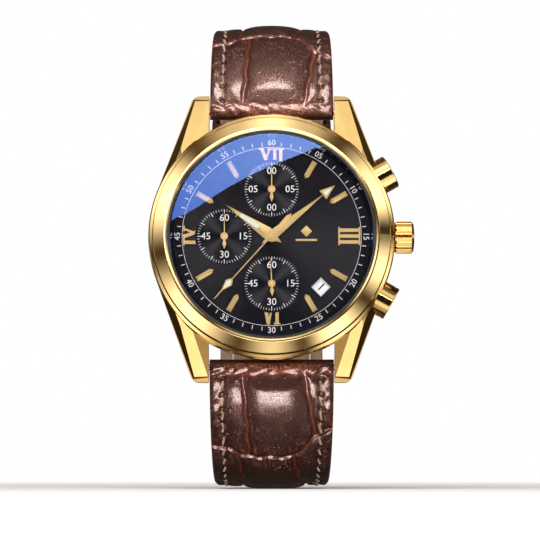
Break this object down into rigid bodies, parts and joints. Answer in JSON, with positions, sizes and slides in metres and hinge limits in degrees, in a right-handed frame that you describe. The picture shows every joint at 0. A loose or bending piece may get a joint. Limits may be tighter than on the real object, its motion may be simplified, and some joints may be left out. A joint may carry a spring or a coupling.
{
  "type": "chronograph wristwatch",
  "caption": "Round gold-toned chronograph wristwatch with a black three-counter dial, date window, crown and two pushers, on a dark brown embossed leather strap with a pin buckle.",
  "frame": {"origin": "centre of the case back's outer face, which rests on the wrist", "axes": "+X towards 3 o'clock and the crown, +Z towards 12 o'clock, +Y out of the case back towards the wrist, so the dial faces -Y"},
  "size_m": [0.0473, 0.0634, 0.0871],
  "materials": {
    "gold_steel": "polished gold plating on steel",
    "buckle_gold": "polished gold plating with light wear",
    "applied_gold": "polished gold plating",
    "sapphire": "clear, with a blue anti-reflection coating",
    "dial_black": "sunburst lacquer with printed scales",
    "flange_black": "glossy black",
    "date_white": "white print base",
    "seal_rubber": "matt",
    "steel": "turned and polished",
    "train_brass": "satin",
    "movement_nickel": "nickel plated, grained",
    "board_green": "laminate",
    "coil_copper": "enamelled copper on a steel core",
    "cell_steel": "drawn steel",
    "holder_white": "moulded",
    "brown_leather": "glossy dark brown, crocodile embossed",
    "lining_leather": "smooth tan calf",
    "strap_filler": "felt"
  },
  "bodies": {
    "head": {"mid_case": "gold_steel", "bezel": "gold_steel", "crystal": "sapphire", "crystal_gasket": "seal_rubber", "flange_ring": "flange_black", "case_back": "gold_steel", "case_back_gasket": "seal_rubber", "dial": "dial_black", "baton_indices": "applied_gold", "roman_numerals": "applied_gold", "applied_emblem": "applied_gold", "control_tubes": "steel", "pusher_springs": "steel", "main_plate": "movement_nickel", "train_bridge": "movement_nickel", "circuit_board": "board_green", "bridge_screws": "steel", "battery": "cell_steel", "motor_coils": "coil_copper", "movement_holder": "holder_white", "strap_upper_leather": "brown_leather", "strap_lower_leather": "brown_leather", "strap_linings": "lining_leather", "strap_padding": "strap_filler", "fixed_keeper": "brown_leather", "buckle_bar": "steel", "spring_bars": "steel"},
    "step_rotor": {"step_rotor": "train_brass"},
    "step_wheel": {"step_wheel": "train_brass"},
    "small_seconds": {"seconds_arbor": "train_brass", "small_seconds_hand": "applied_gold"},
    "third_wheel": {"third_wheel": "train_brass"},
    "centre_wheel": {"centre_wheel": "train_brass"},
    "minutes": {"cannon_pinion": "train_brass", "minute_hand": "applied_gold"},
    "minute_wheel": {"minute_wheel": "train_brass"},
    "hours": {"hour_wheel": "train_brass", "hour_hand": "applied_gold"},
    "date_ring": {"date_ring": "date_white"},
    "chrono_rotor": {"chrono_rotor": "train_brass"},
    "chrono_seconds": {"chrono_arbor": "train_brass", "chrono_seconds_hand": "applied_gold"},
    "counter_mid_wheel": {"counter_mid_wheel": "train_brass"},
    "minute_counter": {"minutes_arbor": "train_brass", "minute_counter_hand": "applied_gold"},
    "tenths_counter": {"tenths_arbor": "train_brass", "tenths_hand": "applied_gold"},
    "setting_slide": {"setting_slide": "steel"},
    "crown": {"crown": "gold_steel", "winding_stem": "steel", "crown_gasket": "seal_rubber"},
    "start_pusher": {"start_pusher": "gold_steel", "start_pusher_clip": "steel"},
    "reset_pusher": {"reset_pusher": "gold_steel", "reset_pusher_clip": "steel"},
    "bar_tip_upper": {"bar_tip_upper": "steel"},
    "bar_tip_lower": {"bar_tip_lower": "steel"},
    "buckle_frame": {"buckle_frame": "buckle_gold"},
    "buckle_tongue": {"buckle_tongue": "buckle_gold"},
    "free_keeper": {"free_keeper": "brown_leather"}
  },
  "joints": [
    {"name": "seconds_spin", "type": "hinge", "parent": "head", "child": "small_seconds", "pos_m": [0, -0.004, -0.0084], "axis": [0, 1, 0], "continuous": true},
    {"name": "step_wheel_spin", "type": "hinge", "parent": "head", "child": "step_wheel", "pos_m": [-0.00231, -0.004, -0.00984], "axis": [0, 1, 0], "continuous": true},
    {"name": "step_rotor_spin", "type": "hinge", "parent": "head", "child": "step_rotor", "pos_m": [-0.00466, -0.004, -0.00848], "axis": [0, 1, 0], "continuous": true},
    {"name": "third_spin", "type": "hinge", "parent": "head", "child": "third_wheel", "pos_m": [0.00122, -0.004, -0.00433], "axis": [0, 1, 0], "continuous": true},
    {"name": "centre_spin", "type": "hinge", "parent": "head", "child": "centre_wheel", "pos_m": [0, -0.004, 0], "axis": [0, 1, 0], "continuous": true},
    {"name": "minute_spin", "type": "hinge", "parent": "head", "child": "minutes", "pos_m": [0, -0.004, 0], "axis": [0, 1, 0], "continuous": true},
    {"name": "minute_wheel_spin", "type": "hinge", "parent": "head", "child": "minute_wheel", "pos_m": [0.00226, -0.004, -0.00082], "axis": [0, 1, 0], "continuous": true},
    {"name": "hour_spin", "type": "hinge", "parent": "head", "child": "hours", "pos_m": [0, -0.004, 0], "axis": [0, 1, 0], "continuous": true},
    {"name": "date_spin", "type": "hinge", "parent": "head", "child": "date_ring", "pos_m": [0, -0.004, 0], "axis": [0, 1, 0], "continuous": true},
    {"name": "chrono_spin", "type": "hinge", "parent": "head", "child": "chrono_seconds", "pos_m": [0, -0.004, 0], "axis": [0, 1, 0], "continuous": true},
    {"name": "chrono_rotor_spin", "type": "hinge", "parent": "head", "child": "chrono_rotor", "pos_m": [-0.0006, -0.004, 0.00428], "axis": [0, 1, 0], "continuous": true},
    {"name": "counter_mid_spin", "type": "hinge", "parent": "head", "child": "counter_mid_wheel", "pos_m": [-0.00407, -0.004, 0.00122], "axis": [0, 1, 0], "continuous": true},
    {"name": "minute_counter_spin", "type": "hinge", "parent": "head", "child": "minute_counter", "pos_m": [-0.0084, -0.004, 0], "axis": [0, 1, 0], "continuous": true},
    {"name": "tenths_spin", "type": "hinge", "parent": "head", "child": "tenths_counter", "pos_m": [0, -0.004, 0.0084], "axis": [0, 1, 0], "continuous": true},
    {"name": "crown_pull", "type": "slide", "parent": "head", "child": "setting_slide", "axis": [1, 0, 0], "range_m": [0, 0.0012]},
    {"name": "crown_spin", "type": "hinge", "parent": "setting_slide", "child": "crown", "pos_m": [0.022, -0.00435, 0], "axis": [1, 0, 0], "continuous": true},
    {"name": "start_press", "type": "slide", "parent": "head", "child": "start_pusher", "axis": [-0.8729, 0, -0.4879], "range_m": [0, 0.00095], "stiffness_N_per_m": 3000, "springref_m": -0.0006, "deforming": ["pusher_springs"]},
    {"name": "reset_press", "type": "slide", "parent": "head", "child": "reset_pusher", "axis": [-0.8729, 0, 0.4879], "range_m": [0, 0.00095], "stiffness_N_per_m": 3000, "springref_m": -0.0006, "deforming": ["pusher_springs"]},
    {"name": "upper_tip_retract", "type": "slide", "parent": "head", "child": "bar_tip_upper", "axis": [-1, 0, 0], "range_m": [0, 0.00145], "stiffness_N_per_m": 800, "springref_m": -0.0008},
    {"name": "lower_tip_retract", "type": "slide", "parent": "head", "child": "bar_tip_lower", "axis": [-1, 0, 0], "range_m": [0, 0.00145], "stiffness_N_per_m": 800, "springref_m": -0.0008},
    {"name": "buckle_swing", "type": "hinge", "parent": "head", "child": "buckle_frame", "pos_m": [0, 0.04443, 0.00652], "axis": [1, 0, 0], "range_deg": [0, 8]},
    {"name": "tongue_swing", "type": "hinge", "parent": "buckle_frame", "child": "buckle_tongue", "pos_m": [0, 0.04443, 0.00652], "axis": [1, 0, 0], "range_deg": [0, 10]},
    {"name": "keeper_slide", "type": "slide", "parent": "head", "child": "free_keeper", "axis": [0, 0.3948, -0.9188], "range_m": [-0.002, 0.002]}
  ],
  "couplings": [
    {"joint": "step_wheel_spin", "follows": "seconds_spin", "ratio": -4},
    {"joint": "step_rotor_spin", "follows": "seconds_spin", "ratio": 30},
    {"joint": "third_spin", "follows": "seconds_spin", "ratio": -0.13333},
    {"joint": "centre_spin", "follows": "seconds_spin", "ratio": 0.016667},
    {"joint": "minute_wheel_spin", "follows": "minute_spin", "ratio": -0.33333},
    {"joint": "hour_spin", "follows": "minute_spin", "ratio": 0.083333},
    {"joint": "date_spin", "follows": "minute_spin", "ratio": 0.0013441},
    {"joint": "chrono_rotor_spin", "follows": "chrono_spin", "ratio": -12.5},
    {"joint": "counter_mid_spin", "follows": "chrono_spin", "ratio": -0.13333},
    {"joint": "minute_counter_spin", "follows": "chrono_spin", "ratio": 0.016667}
  ]
}
